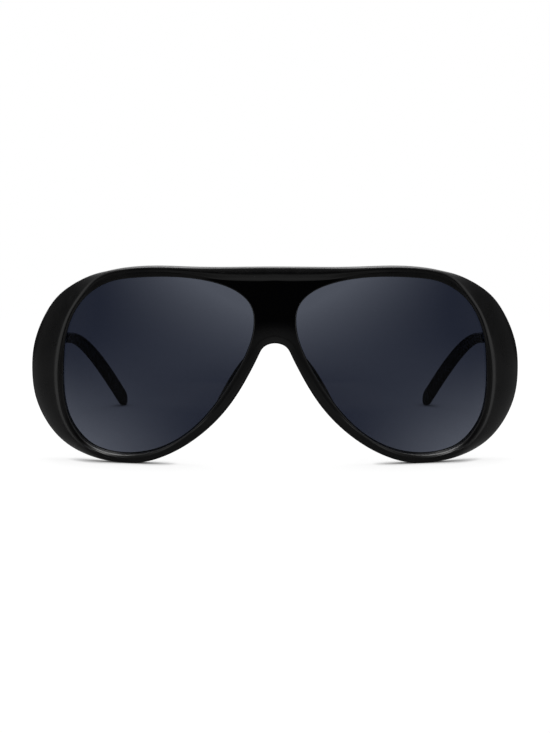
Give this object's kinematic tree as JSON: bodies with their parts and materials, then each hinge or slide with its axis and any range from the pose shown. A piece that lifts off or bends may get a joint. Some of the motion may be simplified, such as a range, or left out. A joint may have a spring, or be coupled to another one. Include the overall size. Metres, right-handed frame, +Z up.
{
  "type": "oversized pilot sunglasses",
  "caption": "Black plastic pilot sunglasses with a flat brow bar, large teardrop lenses, swept side wings and slim folding temples with a core wire.",
  "frame": {"origin": "on the floor that the open glasses stand on, in the middle of their width and of their depth", "axes": "+Z up, -Y the way the wearer looks, +X the wearer's left; Y is the depth from the lenses to the temple tips"},
  "size_m": [0.1538, 0.1572, 0.0613],
  "materials": {
    "front_plastic": "moulded, satin gloss, black",
    "lens_plastic": "polished, dark blue-grey tint",
    "pad_plastic": "polished black",
    "temple_plastic": "tumbled and polished black",
    "hinge_steel": "stamped nickel silver",
    "screw_steel": "turned steel",
    "core_steel": "drawn wire"
  },
  "bodies": {
    "front": {"front_frame": "front_plastic", "left_lens": "lens_plastic", "left_nose_pad": "pad_plastic", "left_front_hinge_leaf": "hinge_steel", "left_hinge_screw": "screw_steel", "left_front_leaf_screws": "screw_steel", "right_lens": "lens_plastic", "right_nose_pad": "pad_plastic", "right_front_hinge_leaf": "hinge_steel", "right_hinge_screw": "screw_steel", "right_front_leaf_screws": "screw_steel"},
    "left_arm": {"left_temple": "temple_plastic", "left_temple_hinge_leaf": "hinge_steel", "left_temple_leaf_screws": "screw_steel", "left_core_wire": "core_steel"},
    "right_arm": {"right_temple": "temple_plastic", "right_temple_hinge_leaf": "hinge_steel", "right_temple_leaf_screws": "screw_steel", "right_core_wire": "core_steel"}
  },
  "joints": [
    {"name": "left_temple_fold", "type": "hinge", "parent": "front", "child": "left_arm", "pos_m": [0.0697, -0.05067, 0.03753], "axis": [0, 0, 1], "range_deg": [0, 86]},
    {"name": "right_temple_fold", "type": "hinge", "parent": "front", "child": "right_arm", "pos_m": [-0.0697, -0.05067, 0.03753], "axis": [0, 0, -1], "range_deg": [0, 81]}
  ]
}
